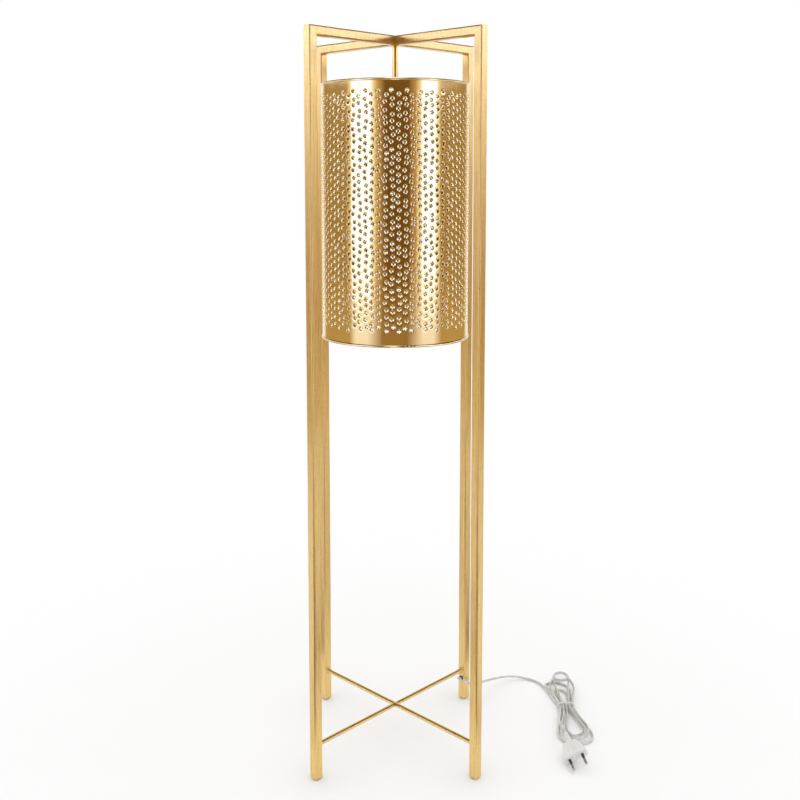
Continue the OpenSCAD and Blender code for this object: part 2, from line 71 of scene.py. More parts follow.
def make_camera():
    data = bpy.data.cameras.new("camera")
    data.sensor_width = SENSOR
    data.lens = FOCAL_PIXELS / IMAGE_SIDE * SENSOR
    data.shift_y = (AXIS_ROW - IMAGE_SIDE / 2) / IMAGE_SIDE
    camera = bpy.data.objects.new("camera", data)
    bpy.context.scene.collection.objects.link(camera)
    turn = (
        Matrix.Rotation(CAMERA_YAW, 4, "Z")
        @ Matrix.Rotation(CAMERA_PITCH, 4, "X")
        @ Matrix.Rotation(CAMERA_ROLL, 4, "Y")
        @ Matrix.Rotation(math.radians(90), 4, "X")
    )
    camera.matrix_world = Matrix.Translation(CAMERA_AT) @ turn
    bpy.context.scene.camera = camera


# ---- Mesh helpers ----

# Points nearer to each other than this, in metres, are one point
SAME_POINT = 1e-7
# Samples of a smooth line for each point that it keeps
SAMPLES = 3


def mesh_piece(name, points, faces, slot, sharp):
    """A new piece on the lamp's body, from points in metres. Edges over sharp degrees stay sharp."""
    mesh = bpy.data.meshes.new(name)
    mesh.from_pydata([tuple(p) for p in points], [], [tuple(f) for f in faces])
    mesh.validate()
    mesh.shade_smooth()
    mesh.set_sharp_from_angle(angle=math.radians(sharp))
    piece = bpy.data.objects.new(name, mesh)
    bpy.context.scene.collection.objects.link(piece)
    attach(piece, BODY)
    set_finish(piece, slot)
    return piece


def merged(points, faces):
    """Points that lie together become one, and faces that collapse are left out."""
    keys = np.round(points / SAME_POINT).astype(np.int64)
    _, first, back = np.unique(keys, axis=0, return_index=True, return_inverse=True)
    kept = []
    for face in back.reshape(-1)[faces].tolist():
        corners = list(dict.fromkeys(face))
        if len(corners) > 2:
            kept.append(corners)
    return points[first], kept


def along(points, spacing):
    """A smooth line through the points, with its own points about one spacing apart."""
    p = np.asarray(points, float)
    p = np.vstack([2 * p[0] - p[1], p, 2 * p[-1] - p[-2]])
    line = []
    for a, b, c, d in zip(p, p[1:], p[2:], p[3:]):
        t1 = math.sqrt(np.linalg.norm(b - a))
        t2 = t1 + math.sqrt(np.linalg.norm(c - b))
        t3 = t2 + math.sqrt(np.linalg.norm(d - c))
        steps = max(2, int(np.linalg.norm(c - b) / spacing * SAMPLES))
        for t in np.linspace(t1, t2, steps, endpoint=False):
            ab = ((t1 - t) * a + t * b) / t1
            bc = ((t2 - t) * b + (t - t1) * c) / (t2 - t1)
            cd = ((t3 - t) * c + (t - t2) * d) / (t3 - t2)
            abc = ((t2 - t) * ab + t * bc) / t2
            bcd = ((t3 - t) * bc + (t - t1) * cd) / (t3 - t1)
            line.append(((t2 - t) * abc + (t - t1) * bcd) / (t2 - t1))
    line.append(p[-2])
    return evenly(np.array(line), spacing)


def evenly(line, spacing):
    """The same line with its points at even distances of about one spacing."""
    gaps = np.linalg.norm(np.diff(line, axis=0), axis=1)
    run = np.concatenate([[0], np.cumsum(gaps)])
    count = max(2, int(round(run[-1] / spacing)) + 1)
    places = np.linspace(0, run[-1], count)
    return np.stack([np.interp(places, run, line[:, k]) for k in range(3)], axis=1)


def directions(line):
    """Direction of a line at each of its points, as vectors of length one."""
    ways = np.gradient(line, axis=0)
    return ways / np.linalg.norm(ways, axis=1)[:, None]


def circle(radius, sides):
    """Points of a circle as an outline, across and up."""
    turns = np.linspace(0, 2 * math.pi, sides, endpoint=False)
    return [(radius * math.cos(a), radius * math.sin(a)) for a in turns]


def swept(line, outline, ups):
    """Points and faces of a closed bar along a line. Its outline is given across and up."""
    ring = len(outline)
    points = []
    for p, way, up in zip(line, directions(line), ups):
        side = np.cross(way, up)
        side /= np.linalg.norm(side)
        top = np.cross(side, way)
        points += [p + x * side + y * top for x, y in outline]
    faces = []
    for start in range(0, len(points) - ring, ring):
        for k in range(ring):
            a, b = start + k, start + (k + 1) % ring
            faces.append((a, b, b + ring, a + ring))
    faces.append(tuple(range(ring))[::-1])
    faces.append(tuple(range(len(points) - ring, len(points))))
    return np.array(points), faces


# ---- Lead: a flat twin flex from the leg's bush, through the hank, to the plug ----

# Diameter of the round lead in the solids, whose room the flat one keeps to
CORD_D = 4.0
FLEX_CORE_R = 1.05
LEAD_SPACING = 1.6
# The hole in the back right leg: its height, and its distance from the lamp's axis
EXIT_Z = 34.0
EXIT_REACH = 144.85
EXIT_AT = np.array([EXIT_REACH / math.sqrt(2)] * 2)
# The middle of the hank's waist, seen from above
HANK_AT = EXIT_AT + [159.5, -38.0]
# Height of the lead's middle line where it lies on the floor
FLOOR_Z = CORD_D / 2 + 0.2
# Offsets from the leg's hole, with the height as a share of the hole's height
RUN_OUT = [
    (0, 0, 1), (-1.2, -1.2, 1), (-2.6, -2.8, 1.01), (-4.4, -5.5, 1.06), (-4.9, -9.1, 1.11),
    (-3.8, -12.6, 1.14), (-1.3, -15.4, 1.14), (2.1, -16.8, 1.11), (5.8, -16.6, 1.06), (9.3, -14.8, 1),
    (14, -10, 0.9), (22, -2, 0.78), (30, 6, 0.7), (39, 15, 0.62), (49, 27.5, 0.51),
    (60, 39.5, 0.4), (72, 51, 0.29), (85, 59, 0.2), (96, 62.5, 0.135), (106, 62.5, 0.09),
]
# Offsets from the hank's middle and from FLOOR_Z, along the hank's left side
RUN_IN = [
    (-44.5, 97, 0), (-36, 90, 0), (-29.5, 82, 0.1), (-25.4, 72, 0.3), (-22.4, 60, 0.6),
    (-19.4, 47, 0.8), (-16.4, 34, 1), (-14.2, 23, 1.1), (-12.4, 13, 1.2),
]
# Offsets from the end of the hank's last loop
TAIL_OUT = [
    (0, 0, 0), (0, -1.5, 0), (-0.9, -6, 0.1), (-2.6, -14, 0.5), (-5, -27, 1.8), (-8.4, -40, 4.2),
    (-10.6, -53, 7.4), (-11.1, -65, 10.6), (-10.4, -76, 12.9), (-9.4, -85, 13.9),
]
LOOPS = 4
LOOP_STEPS = 24
# Half the width of the hank's waist, the room of one strand in it, and its rise over the tie's wire
WAIST_W = 11.1
STRAND = CORD_D + 0.8
TIE_LIFT = 1.2
# Each loop's lobe towards the plug, then its lobe away from it: half width as a cosine form,
# length from the waist, and how far its tip leans to the right
LOBES = [
    ((62, 97, 0), (46, 86, -9)),
    ((42, 76, -3), (26, 64, -4)),
    ((40, 88, 5), (30, 112, 8)),
    ((50, 92, -2), (46, 84, 4)),
]
PLUG_LEN = 28.0
RELIEF_LEN = 20.0
RELIEF_GAP = 0.3
# The middle of the plug's front, and the line along which its pins point
PLUG_AT = np.array([HANK_AT[0] - 12.8, HANK_AT[1] - 146.5, 12.9])
PLUG_HEADING = math.radians(8)
PLUG_DIP = math.radians(10)
PLUG_ROLL = math.radians(25)
PLUG_LINE = np.array(
    [
        math.sin(PLUG_HEADING) * math.cos(PLUG_DIP),
        -math.cos(PLUG_HEADING) * math.cos(PLUG_DIP),
        -math.sin(PLUG_DIP),
    ]
)
RELIEF_END = PLUG_AT - (PLUG_LEN + RELIEF_LEN + RELIEF_GAP) * PLUG_LINE


def hank_point(u):
    """A point of the hank, u loops from its start at the left of the waist."""
    loop = min(int(u), LOOPS - 1)
    a = 2 * math.pi * u + math.pi
    half = LOOPS / 2
    inset = STRAND * (u if u < half else LOOPS - u)
    # The second half of the loops lies on the first, and half a loop is the way up
    climb = min(max(2 * (u - half) + 0.5, 0), 1)
    across, up = math.cos(a), math.sin(a)
    wide, long, lean = LOBES[loop][0 if up < 0 else 1]
    waist = WAIST_W - inset
    x = across * (wide - (wide - waist) * across**2) + lean * up**2
    y = long * up
    z = FLOOR_Z + TIE_LIFT * across**2 + STRAND * climb
    return np.array([HANK_AT[0] + x, HANK_AT[1] + y, z])


def lead_route():
    """Points that the lead's middle line goes through, from the leg to the plug."""
    out = [(EXIT_AT[0] + x, EXIT_AT[1] + y, max(z * EXIT_Z, FLOOR_Z)) for x, y, z in RUN_OUT]
    into = [(HANK_AT[0] + x, HANK_AT[1] + y, FLOOR_Z + z) for x, y, z in RUN_IN]
    into.append(hank_point(0) + [0, CORD_D, 0])
    hank = [hank_point(i / LOOP_STEPS) for i in range(LOOP_STEPS * LOOPS + 1)]
    end = hank[-1] - [0, CORD_D, 0]
    tail = [end + p for p in TAIL_OUT] + [RELIEF_END - CORD_D * PLUG_LINE, RELIEF_END]
    return np.array(out + into + hank + tail)


# What stays in place: half the width and length of the waist, and the lead's lengths at its ends
HELD_WAIST = (30, 9)
HELD_START = 60
HELD_END = 16
# Least distance of two strands, middle to middle
STRAND_GAP = CORD_D + 0.1
# Points less than this many gaps apart along the lead belong to one strand
OWN_STRAND = 3
# Each round pushes strands that meet apart, eases the bends and lets what lies free sink
SETTLE_ROUNDS = 120
PUSH_SHARE = 0.5
PUSH_GAIN = 1.4
# Lift added to a push, as a share of the gap, and how far the strand below yields on each axis
UPWARD = 0.6
LOWER_YIELDS = (0.6, 0.6, 0.2)
STIFFNESS = 0.35
SINKING = 0.02


def settled(line, spacing):
    """The lead with its strands pushed apart where they would meet, laid on the floor."""
    rest = line.copy()
    count = len(line)
    x, y = (line[:, :2] - HANK_AT).T
    held = (np.abs(x) < HELD_WAIST[0]) & (np.abs(y) < HELD_WAIST[1])
    held[: int(HELD_START / spacing)] = True
    held[-int(HELD_END / spacing):] = True
    free = ~held
    stiff = np.where(free[1:-1, None], STIFFNESS, 0.0)
    near = int(OWN_STRAND * STRAND_GAP / spacing)
    order = np.arange(count)
    strangers = order[None] - order[:, None] > near
    for _ in range(SETTLE_ROUNDS):
        apart = line[:, None] - line[None]
        far = np.linalg.norm(apart, axis=2)
        i, j = np.nonzero((far < STRAND_GAP) & strangers)
        way = apart[j, i]
        way[:, 2] = np.abs(way[:, 2]) + UPWARD * STRAND_GAP
        way /= np.linalg.norm(way, axis=1)[:, None]
        deep = (STRAND_GAP - far[i, j])[:, None] * PUSH_SHARE
        push = np.zeros_like(line)
        np.add.at(push, j, way * deep)
        np.add.at(push, i, -way * deep * LOWER_YIELDS)
        hits = np.bincount(np.concatenate([i, j]), minlength=count)
        push /= np.maximum(hits, 1)[:, None]
        line = line + push * free[:, None] * PUSH_GAIN
        middle = (line[:-2] + line[2:]) / 2
        line[1:-1] += (middle - line[1:-1]) * stiff
        fall = np.where(free & (hits == 0), SINKING, 0.0)
        line[:, 2] = np.maximum(line[:, 2] - fall * (line[:, 2] > rest[:, 2]), FLOOR_Z)
    return line


def flex_outline():
    """The figure-of-eight section of a twin flex, across and up, in millimetres."""
    outline = []
    for side in (1, -1):
        for degrees in range(-135, 136, 45):
            a = math.radians(degrees)
            across = FLEX_CORE_R + FLEX_CORE_R * math.cos(a)
            outline.append((side * across, side * FLEX_CORE_R * math.sin(a)))
    return outline


# The flat lead's turn about its own line, in degrees, and the waves in it: size, length and start
TWIST = 90
TWIST_WAVES = [(38, 61.0, 0), (16, 23.0, 1)]


def make_lead():
    line = settled(along(lead_route(), LEAD_SPACING), LEAD_SPACING)
    line = evenly(line, LEAD_SPACING)
    ups = []
    for i, way in enumerate(directions(line)):
        up = UP - way * way[2]
        up /= np.linalg.norm(up)
        twist = TWIST
        for size, length, start in TWIST_WAVES:
            twist += size * math.sin(i * LEAD_SPACING / length + start)
        a = math.radians(twist)
        ups.append(math.cos(a) * up + math.sin(a) * np.cross(way, up))
    points, faces = swept(line * MM, np.array(flex_outline()) * MM, ups)
    lead = mesh_piece("lead", points, faces, "lead", sharp=80)
    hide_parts("cord_run", "cord_hank", "cord_tail")
    return lead, line * MM


TIE_WIRE_D = 2.0
# How far the tie's wire stands off: from the strands on the left and above, and from the floor
TIE_OFF_LEFT = 0.7
TIE_OFF_TOP = 2.8
TIE_OFF_FLOOR = 0.05
# Its middle line: left and right of the hank's middle, lowest and highest, and place along the hank
TIE_SIDES = (-WAIST_W - CORD_D / 2 - TIE_OFF_LEFT, WAIST_W - STRAND / 2 + CORD_D / 2)
TIE_HEIGHTS = (TIE_WIRE_D / 2 + TIE_OFF_FLOOR, FLOOR_Z + TIE_LIFT + STRAND + CORD_D / 2 + TIE_OFF_TOP)
TIE_ALONG = 1.5
# Where it starts and how far it goes round, in degrees, and how far apart its ends lie
TIE_START = -100
TIE_ROUND = 380
TIE_PITCH = 2.2
# Power of its rounded square: 2 would be an ellipse
TIE_SQUARENESS = 2.4
TIE_STEPS = 64
WIRE_POINTS = 12


def make_tie():
    """A coated wire once round the hank's waist, its ends crossed under the strands."""
    left, right = TIE_SIDES
    low, high = TIE_HEIGHTS
    middle = np.array([HANK_AT[0] + (left + right) / 2, HANK_AT[1] + TIE_ALONG, (low + high) / 2])
    half_width, half_height = (right - left) / 2, (high - low) / 2
    power = TIE_SQUARENESS
    line = []
    for step in range(TIE_STEPS + 1):
        a = math.radians(TIE_START + TIE_ROUND * step / TIE_STEPS)
        across, up = math.cos(a), math.sin(a)
        bulge = (abs(across) ** power + abs(up) ** power) ** (-1 / power)
        x = half_width * across * bulge
        y = TIE_PITCH * (step / TIE_STEPS - 0.5)
        z = half_height * up * bulge
        line.append(middle + [x, y, z])
    line = np.array(line)
    ups = np.cross(directions(line), [0.0, 1.0, 0.0])
    points, faces = swept(line * MM, circle(TIE_WIRE_D / 2 * MM, WIRE_POINTS), ups)
    tie = mesh_piece("hank_wire_tie", points, faces, "white_plastic", sharp=60)
    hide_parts("hank_tie")
    return tie


# Grip ribs on the plug's upper face: places across it, and their ends behind its front
GRIP_ACROSS = (-5.4, -1.8, 1.8, 5.4)
GRIP_ENDS = (-18.5, -8.5)
GRIP_R = 0.55
GRIP_STEPS = 9
GRIP_POINTS = 10
# Height over the plug's middle line from which its face is looked for
ABOVE_PLUG = 25


def make_grip():
    """Four raised ribs that follow the plug's upper face."""
    body = frame["nodes"]["plug_body"].data
    corners = [v.co for v in body.vertices]
    tree = BVHTree.FromPolygons(corners, [tuple(f.vertices) for f in body.polygons])
    level = np.cross(PLUG_LINE, UP)
    level /= np.linalg.norm(level)
    turn = Matrix.Rotation(PLUG_ROLL, 3, Vector(PLUG_LINE))
    across = np.array(turn @ Vector(level))
    up = np.cross(across, PLUG_LINE)
    outline = circle(GRIP_R * MM, GRIP_POINTS)
    points, faces = [], []
    for offset in GRIP_ACROSS:
        line = []
        for place in np.linspace(*GRIP_ENDS, GRIP_STEPS):
            start = (PLUG_AT + place * PLUG_LINE + offset * across + ABOVE_PLUG * up) * MM
            line.append(np.array(tree.ray_cast(Vector(start), Vector(-up))[0]))
        rib, rib_faces = swept(np.array(line), outline, [up] * len(line))
        faces += [tuple(k + len(points) for k in f) for f in rib_faces]
        points += list(rib)
    return mesh_piece("plug_grip", points, faces, "white_plastic", sharp=60)


# ---- Shade: one perforated sheet whose holes are pressed in ----

COLUMNS = 72
FIRST_COLUMN = math.radians(90)
SHADE_R = 101.0
SHADE_Z = 588.0
SHADE_H = 348.0
SHEET_T = 1.0
RIM_D = 3.6
RIM_GAP = 0.1
HOLE_PITCH = 9.2
HOLE_D = 3.2
STRAY = 1.6
BAND_TOP = 14.0
BAND_BOTTOM = 17.0
# Heights of the sheet's two edges, and of the perforated part's
SHEET_LOW = SHADE_Z + RIM_D / 2 + RIM_GAP
SHEET_HIGH = SHADE_Z + SHADE_H - RIM_D / 2 - RIM_GAP
HOLES_LOW = SHADE_Z + BAND_BOTTOM + HOLE_D
HOLES_HIGH = SHADE_Z + SHADE_H - BAND_TOP - HOLE_D
ROWS = int((HOLES_HIGH - HOLES_LOW) / HOLE_PITCH + 0.5)
COLUMN_WIDTH = 2 * math.pi * SHADE_R / COLUMNS
# Each hole has a cell with six corners, and its rings take three steps from corner to corner
CORNERS = 6
EDGE_STEPS = 3
CELL_SIDES = CORNERS * EDGE_STEPS
# A pressed hole's rings, from the dimple's rim in to the hole: radius, and depth under the face
DIMPLE = [(3.15, 0.0), (3.0, 0.01), (2.75, 0.11), (2.3, 0.39), (1.8, 0.69), (1.35, 0.93)]
# Share of the way to its cell's edge that a dimple may take up, and the least width it shrinks to
CELL_SHARE = 0.93
LEAST_WIDTH = 0.2


# Turns, in degrees, and gain of the rule that scatters the holes here and in the solids
SCATTER_TURNS = (127.1, 311.7, 74.7)
SCATTER_GAIN = 437.585


def scatter(i, j, k):
    """The k-th number of hole i of column j, from -1 to 1, as if drawn by lot."""
    by_i, by_j, by_k = SCATTER_TURNS
    s = SCATTER_GAIN * np.sin(np.radians(by_i * i + by_j * j + by_k * k))
    return 2 * (s - np.floor(s)) - 1


def hole_middle(i, j):
    """Middle of hole i of column j, along the sheet and up it; rows past the ends don't stray."""
    strays = np.where((i >= 0) & (i < ROWS), STRAY, 0.0)
    column = j % COLUMNS
    x = (j + 0.5) * COLUMN_WIDTH + strays * scatter(i, column, 1)
    z = HOLES_LOW + (i + 0.25 + (j % 2) / 2) * HOLE_PITCH + strays * scatter(i, column, 2)
    return np.stack([x, z], axis=-1)


def rolled(flat, depth):
    """Points of the flat sheet, along it and up it, on the drum at a depth under its face."""
    a = FIRST_COLUMN + flat[..., 0] / SHADE_R
    r = SHADE_R - depth
    return np.stack([r * np.cos(a), r * np.sin(a), flat[..., 1]], axis=-1)


def cell_edges(i, j):
    """Points round each hole's cell. Each corner is the middle of three holes that are neighbours."""
    own = hole_middle(i, j)
    odd = j % 2
    right_up, right_down = hole_middle(i + odd, j + 1), hole_middle(i + odd - 1, j + 1)
    left_up, left_down = hole_middle(i + odd, j - 1), hole_middle(i + odd - 1, j - 1)
    up, down = hole_middle(i + 1, j), hole_middle(i - 1, j)
    ring = [right_up, up, left_up, left_down, down, right_down]
    corners = [(own + ring[k - 1] + ring[k]) / 3 for k in range(CORNERS)]
    edge = []
    for k in range(CORNERS):
        for m in range(EDGE_STEPS):
            share = m / EDGE_STEPS
            edge.append(corners[k] * (1 - share) + corners[(k + 1) % CORNERS] * share)
    return np.stack(edge, axis=1)


def hole_rings(own, edge):
    """Rings of points round each hole, with their depths: cell's edge, dimple, hole, edge behind."""
    turn = np.arange(CELL_SIDES) * 2 * math.pi / CELL_SIDES
    spokes = np.stack([np.cos(turn), np.sin(turn)], axis=-1)
    reach = np.linalg.norm(edge - own[:, None], axis=2)
    hole_r, rim_r = DIMPLE[-1][0], DIMPLE[0][0]
    squeeze = np.clip((CELL_SHARE * reach - hole_r) / (rim_r - hole_r), LEAST_WIDTH, 1)
    rings = [(edge, 0.0)]
    for radius, depth in DIMPLE:
        r = hole_r + (radius - hole_r) * squeeze
        rings.append((own[:, None] + r[..., None] * spokes[None], depth))
    return rings + [(rings[-1][0], SHEET_T), (edge, SHEET_T)]


def ring_faces(cells, rings):
    """Faces between the rings of all cells."""
    per_ring = cells * CELL_SIDES
    here = np.arange(per_ring).reshape(-1, CELL_SIDES)
    after = np.roll(here, -1, axis=1)
    faces = []
    for k in range(rings - 1):
        outer, inner = k * per_ring, (k + 1) * per_ring
        quads = [here + outer, after + outer, after + inner, here + inner]
        faces.append(np.stack(quads, axis=-1).reshape(-1, 4))
    return faces


def plain_band(edge, first, last, z):
    """Corners of quads from some sides of the end cells to the sheet's edge: face, back and rim."""
    quads = []
    for m in range(first, last):
        p, q = edge[:, m % CELL_SIDES], edge[:, (m + 1) % CELL_SIDES]
        p_far, q_far = p.copy(), q.copy()
        p_far[:, 1] = z
        q_far[:, 1] = z
        face = [rolled(f, 0.0) for f in (p, p_far, q_far, q)]
        back = [rolled(f, SHEET_T) for f in (q, q_far, p_far, p)]
        rim = [face[1], back[2], back[1], face[2]]
        quads += [np.stack(corners, axis=1) for corners in (face, back, rim)]
    return np.concatenate(quads).reshape(-1, 3)


def make_shade():
    j, i = np.meshgrid(np.arange(COLUMNS), np.arange(ROWS), indexing="ij")
    i, j = i.reshape(-1), j.reshape(-1)
    own, edge = hole_middle(i, j), cell_edges(i, j)
    rings = hole_rings(own, edge)
    points = np.concatenate([rolled(flat, depth).reshape(-1, 3) for flat, depth in rings])
    faces = ring_faces(len(own), len(rings))
    bottom, top = i == 0, i == ROWS - 1
    even = j % 2 == 0
    # Holes of the end rows, the corners between which their cells face the band, and its far edge
    bands = [
        (bottom & even, 3, 6, SHEET_LOW),
        (bottom & ~even, 4, 5, SHEET_LOW),
        (top & ~even, 0, 3, SHEET_HIGH),
        (top & even, 1, 2, SHEET_HIGH),
    ]
    for cells, first, last, z in bands:
        extra = plain_band(edge[cells], first * EDGE_STEPS, last * EDGE_STEPS, z)
        start = len(points)
        points = np.concatenate([points, extra])
        faces.append(np.arange(start, start + len(extra)).reshape(-1, 4))
    points, faces = merged(points * MM, np.concatenate(faces))
    shade = mesh_piece("shade", points, faces, "shade", sharp=38)
    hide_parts("shade_sheet_left", "shade_sheet_front", "shade_sheet_right")
    return shade


# ---- Node trees ----

# Sockets of a Mix node's colours, whose names its numbers share
MIX_FIRST, MIX_SECOND, MIX_RESULT = 6, 7, 2


def rgb(red, green, blue):
    return (red, green, blue, 1.0)


class Nodes:
    """A node tree, with short calls to add and join its nodes."""

    def __init__(self, tree):
        self.tree = tree

    def add(self, kind, inputs=None, **settings):
        node = self.tree.nodes.new(kind)
        for key, value in settings.items():
            setattr(node, key, value)
        for key, value in (inputs or {}).items():
            self.put(node.inputs[key], value)
        return node

    def put(self, socket, value):
        if isinstance(value, bpy.types.NodeSocket):
            self.tree.links.new(value, socket)
        else:
            socket.default_value = value

    def maths(self, operation, first, second):
        return self.add("ShaderNodeMath", {0: first, 1: second}, operation=operation).outputs[0]

    def span(self, value, low, high, to_low=0.0, to_high=1.0, **settings):
        """The value's range from low to high as a range from to_low to to_high."""
        ends = {"From Min": low, "From Max": high, "To Min": to_low, "To Max": to_high}
        return self.add("ShaderNodeMapRange", {"Value": value, **ends}, **settings).outputs[0]

    def blend(self, amount, first, second):
        inputs = {0: amount, MIX_FIRST: first, MIX_SECOND: second}
        return self.add("ShaderNodeMix", inputs, data_type="RGBA").outputs[MIX_RESULT]


class Material(Nodes):
    """A material's node tree round its Principled shader."""

    def __init__(self, name):
        self.material = bpy.data.materials.new(name)
        self.material.use_nodes = True
        super().__init__(self.material.node_tree)
        self.shader = self.tree.nodes["Principled BSDF"]
        self.place = self.add("ShaderNodeTexCoord").outputs["Object"]

    def noise(self, scale, detail=3, rough=0.5, stretch=(1, 1, 1)):
        """Noise whose scale is in grains per metre."""
        mapped = self.add("ShaderNodeMapping", {"Vector": self.place, "Scale": stretch})
        inputs = {"Vector": mapped.outputs[0], "Scale": scale, "Detail": detail, "Roughness": rough}
        return self.add("ShaderNodeTexNoise", inputs).outputs["Fac"]

    def bump(self, height, distance, strength, over=None):
        """Relief of a height in metres, on another relief or on the plain face."""
        inputs = {"Height": height, "Distance": distance, "Strength": strength}
        if over is not None:
            inputs["Normal"] = over
        return self.add("ShaderNodeBump", inputs).outputs[0]

    def fade(self, near, far):
        """0 up to the near distance from the frame's origin, and 1 from the far one on."""
        away = self.add("ShaderNodeVectorMath", {0: self.place}, operation="LENGTH")
        return self.span(away.outputs["Value"], near, far)

    def finish(self, **values):
        """Sets the Principled shader's inputs, whose names have _ for a space."""
        for key, value in values.items():
            self.put(self.shader.inputs[key.replace("_", " ")], value)
        return self.material

    def mix(self, amount, first, second):
        """Makes the surface a mix of two shaders."""
        mixed = self.add("ShaderNodeMixShader", {0: amount, 1: first, 2: second}).outputs[0]
        self.put(self.tree.nodes["Material Output"].inputs["Surface"], mixed)
        return self.material


# ---- Materials ----


def satin_gold():
    """Gold lacquer on the frame, with drawn streaks and a lively hammered grain."""
    n = Material("satin_gold")
    fine = n.noise(1100, detail=4, rough=0.6)
    streaks = n.noise(500, rough=0.55, stretch=(1, 1, 0.05))
    broad = n.noise(35)
    colour = n.blend(n.span(fine, 0.35, 0.68), rgb(0.76, 0.50, 0.16), rgb(0.97, 0.72, 0.29))
    colour = n.blend(n.span(streaks, 0.5, 0.7, 0, 0.55), colour, rgb(0.60, 0.37, 0.10))
    colour = n.blend(n.span(broad, 0.4, 0.75, 0, 0.3), colour, rgb(0.88, 0.60, 0.21))
    dents = n.bump(n.noise(520, detail=4, rough=0.55), distance=0.0005, strength=0.35)
    return n.finish(
        Base_Color=colour,
        Metallic=1.0,
        Roughness=n.span(n.noise(600), 0.3, 0.7, 0.27, 0.38),
        Coat_Weight=0.5,
        Coat_Roughness=0.12,
        Normal=n.bump(fine, distance=0.0004, strength=0.2, over=dents),
    )


def polished_brass(name, light, dark, rough):
    """Brass, polished, with faint rolling lines and dull patches."""
    n = Material(name)
    patch = n.noise(22, detail=4)
    waves = n.bump(n.noise(16, detail=2), distance=0.0012, strength=0.25)
    lines = n.noise(260, rough=0.6, stretch=(1, 1, 0.08))
    return n.finish(
        Base_Color=n.blend(n.span(patch, 0.35, 0.7), rgb(*light), rgb(*dark)),
        Metallic=1.0,
        Roughness=n.span(patch, 0.3, 0.7, *rough),
        Normal=n.bump(lines, distance=0.0002, strength=0.12, over=waves),
    )


def mottled(name, light, dark, rough, patches, grain, relief, metallic=0.0):
    """Two tones in soft patches, with a roughness each, under a fine grain.

    The patches and the grain are given as noise: its scale, then its detail.
    """
    n = Material(name)
    patch = n.noise(*patches)
    return n.finish(
        Base_Color=n.blend(n.span(patch, 0.3, 0.7), rgb(*light), rgb(*dark)),
        Metallic=metallic,
        Roughness=n.span(patch, 0.3, 0.7, *rough),
        Normal=n.bump(n.noise(*grain), distance=0.0002, strength=relief),
    )


def finishes():
    """The material of each slot."""
    return {
        "frame": satin_gold(),
        "shade": polished_brass("polished_brass", (0.95, 0.76, 0.41), (0.92, 0.72, 0.37), (0.05, 0.09)),
        "plated_steel": mottled(
            "plated_steel", (0.60, 0.56, 0.48), (0.44, 0.41, 0.35), rough=(0.12, 0.26),
            patches=(140, 4), grain=(700, 3), relief=0.15, metallic=1.0,
        ),
        "contacts": mottled(
            "contact_brass", (0.82, 0.62, 0.30), (0.66, 0.47, 0.20), rough=(0.22, 0.4),
            patches=(200, 4), grain=(200, 4), relief=0.2, metallic=1.0,
        ),
        "black_plastic": mottled(
            "black_plastic", (0.030, 0.030, 0.032), (0.018, 0.018, 0.020), rough=(0.42, 0.6),
            patches=(60, 4), grain=(900, 3), relief=0.2,
        ),
        "white_plastic": mottled(
            "white_plastic", (0.83, 0.82, 0.80), (0.77, 0.76, 0.73), rough=(0.3, 0.45),
            patches=(60, 4), grain=(900, 3), relief=0.2,
        ),
        "lead": mottled(
            "clear_flex", (0.76, 0.74, 0.70), (0.54, 0.52, 0.48), rough=(0.16, 0.3),
            patches=(90, 3), grain=(500, 3), relief=0.15,
        ),
    }


# The round rod that holds the drum, which shines more than the square tube, and its bush
RODS = ("hang_rod", "rod_bush")
# Polished faces don't mirror these
FRONT_LEGS = ("leg_front_left", "leg_front_right")


def dress(made):
    """Gives every CAD node and new piece the material of its slot."""
    finish_of = finishes()
    slot_of = {s["node"]: s["material_slot"] for s in frame["record"]["subparts"]}
    for name, piece in frame["nodes"].items():
        piece.data.materials.clear()
        piece.data.materials.append(finish_of[slot_of[name]])
    rod_brass = polished_brass("rod_brass", (0.80, 0.54, 0.20), (0.70, 0.44, 0.14), (0.10, 0.16))
    for name in RODS:
        frame["nodes"][name].data.materials[0] = rod_brass
    for piece in made:
        piece.data.materials.append(finish_of[piece["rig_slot"]])


# ---- Studio: what polished metal sees, a soft dome for all other light, and a white backdrop ----

BACKDROP = (1.0, 1.0, 1.0)
STRIP = (1.35, 1.6, 2.5)
WARM_BRIGHT = (1.0, 0.86, 0.6)
WARM_SIDE = (0.39, 0.26, 0.10)
WARM_HALF = (0.55, 0.36, 0.16)
WARM_DARK = (0.17, 0.085, 0.02)
LOW_SIDE = (0.50, 0.35, 0.14)
LOW_STRIP = (1.0, 0.95, 0.95)
LOW_FRONT = (0.34, 0.21, 0.075)
OVER_SIDE = (3.7, 3.9, 5.0)
OVER_FRONT = (1.5, 1.8, 3.1)
CEILING = (0.11, 0.055, 0.015)
# What polished metal sees below the level: degrees from the camera's side towards the right
LOW = [
    (-152, BACKDROP), (-140, LOW_SIDE), (-76, LOW_SIDE), (-64, LOW_STRIP), (-44, LOW_STRIP),
    (-20, LOW_FRONT), (18, LOW_FRONT), (44, LOW_STRIP), (62, LOW_STRIP), (76, LOW_SIDE),
    (140, LOW_SIDE), (152, BACKDROP),
]
# What it sees round the room, the same way
ROOM = [
    (-152, BACKDROP), (-140, WARM_SIDE), (-80, WARM_SIDE), (-72, WARM_BRIGHT), (-69, STRIP),
    (-38, STRIP), (-34, WARM_BRIGHT), (-26, WARM_HALF), (-15, WARM_DARK), (20, WARM_DARK),
    (31, WARM_HALF), (38, WARM_BRIGHT), (42, STRIP), (65, STRIP), (68, WARM_BRIGHT),
    (76, WARM_SIDE), (140, WARM_SIDE), (152, BACKDROP),
]
